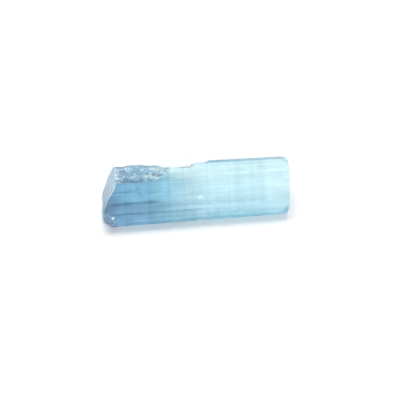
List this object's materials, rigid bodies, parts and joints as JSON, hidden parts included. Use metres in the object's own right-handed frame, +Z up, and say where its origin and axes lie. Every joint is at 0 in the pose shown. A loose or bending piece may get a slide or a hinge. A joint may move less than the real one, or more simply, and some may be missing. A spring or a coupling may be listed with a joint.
{
  "type": "indicolite tourmaline crystal",
  "caption": "Natural blue tourmaline crystal: a clear, lengthwise striated three-sided prism with blunted corners, both ends broken and a chipped top edge, lying on one prism face.",
  "frame": {"origin": "on the surface the crystal lies on, under the middle of its box", "axes": "+X along the crystal's long axis (its c axis) towards the paler end, +Z up, and the wide front face looks towards -Y and up"},
  "size_m": [0.02, 0.006, 0.0067],
  "materials": {
    "tourmaline": "vitreous lustre on finely striated faces, conchoidal broken ends, pale blue and see-through, deeper blue towards the chipped end"
  },
  "bodies": {
    "root": {"crystal": "tourmaline"}
  },
  "joints": []
}
